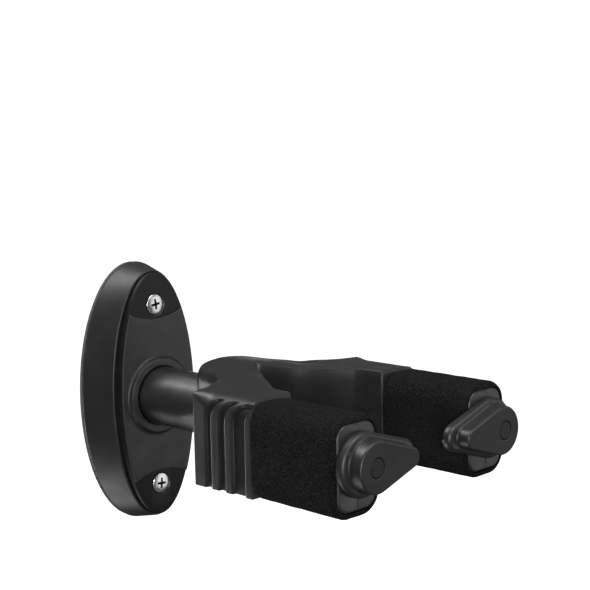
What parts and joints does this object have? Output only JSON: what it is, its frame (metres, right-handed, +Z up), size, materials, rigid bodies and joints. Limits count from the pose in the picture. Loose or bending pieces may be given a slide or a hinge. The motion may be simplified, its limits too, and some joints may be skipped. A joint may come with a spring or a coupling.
{
  "type": "guitar wall hanger",
  "caption": "Wall hanger for a guitar: oval wall plate, short tube, swivelling yoke with foam-covered arms and self-closing latch levers.",
  "frame": {"origin": "centre of the back face of the wall plate's pad, on the wall, on the axis of the support tube", "axes": "+Y into the wall, so the hanger stands out along -Y; +X to the right as seen from the room; +Z up"},
  "size_m": [0.098, 0.1801, 0.1168],
  "materials": {
    "grey_plastic": "fine satin texture",
    "black_plastic": "satin",
    "acetal": "natural moulded",
    "foam": "open-cell foam, matt",
    "rubber_pad": "matt",
    "gloss_tube": "gloss black",
    "dark_steel": "black oxide",
    "zinc_steel": "bright zinc"
  },
  "bodies": {
    "wall_mount": {"wall_plate_cover": "grey_plastic", "wall_pad": "rubber_pad", "anchor_plate": "dark_steel", "wall_screw_upper": "zinc_steel", "wall_screw_lower": "zinc_steel", "support_tube": "gloss_tube", "tube_end_plug": "dark_steel", "thrust_washer": "acetal", "swivel_bolt": "dark_steel"},
    "carrier": {"lift_fork": "acetal"},
    "yoke": {"yoke_body": "grey_plastic", "bottom_cover_left": "grey_plastic", "cover_screw_left": "zinc_steel", "guide_pin_left": "zinc_steel", "return_spring_left": "zinc_steel", "arm_shell_outer_left": "grey_plastic", "arm_shell_inner_left": "grey_plastic", "arm_screw_outer_left": "zinc_steel", "arm_screw_inner_left": "zinc_steel", "foam_sleeve_left": "foam", "shaft_bush_rear_left": "acetal", "shaft_bush_front_left": "acetal", "bottom_cover_right": "grey_plastic", "cover_screw_right": "zinc_steel", "guide_pin_right": "zinc_steel", "return_spring_right": "zinc_steel", "arm_shell_outer_right": "grey_plastic", "arm_shell_inner_right": "grey_plastic", "arm_screw_outer_right": "zinc_steel", "arm_screw_inner_right": "zinc_steel", "foam_sleeve_right": "foam", "shaft_bush_rear_right": "acetal", "shaft_bush_front_right": "acetal"},
    "latch_left": {"latch_lever_left": "grey_plastic", "latch_shaft_left": "zinc_steel", "latch_crank_left": "acetal", "latch_screw_left": "zinc_steel", "latch_plug_left": "black_plastic"},
    "latch_right": {"latch_lever_right": "grey_plastic", "latch_shaft_right": "zinc_steel", "latch_crank_right": "acetal", "latch_screw_right": "zinc_steel", "latch_plug_right": "black_plastic"}
  },
  "joints": [
    {"name": "yoke_swivel", "type": "hinge", "parent": "wall_mount", "child": "carrier", "pos_m": [0, -0.067, 0], "axis": [0, 1, 0], "range_deg": [-25, 25]},
    {"name": "yoke_lift", "type": "slide", "parent": "carrier", "child": "yoke", "axis": [0, 0, 1], "range_m": [0, 0.006], "stiffness_N_per_m": 900, "springref_m": 0.014, "deforming": ["return_spring_left", "return_spring_right"]},
    {"name": "latch_left_turn", "type": "hinge", "parent": "yoke", "child": "latch_left", "pos_m": [-0.0365, -0.172, 0.002], "axis": [0, -1, 0], "range_deg": [0, 90]},
    {"name": "latch_right_turn", "type": "hinge", "parent": "yoke", "child": "latch_right", "pos_m": [0.0365, -0.172, 0.002], "axis": [0, 1, 0], "range_deg": [0, 90]}
  ],
  "couplings": [
    {"joint": "latch_left_turn", "follows": "yoke_lift", "rad_per_m": 261.79},
    {"joint": "latch_right_turn", "follows": "yoke_lift", "rad_per_m": 261.79}
  ]
}
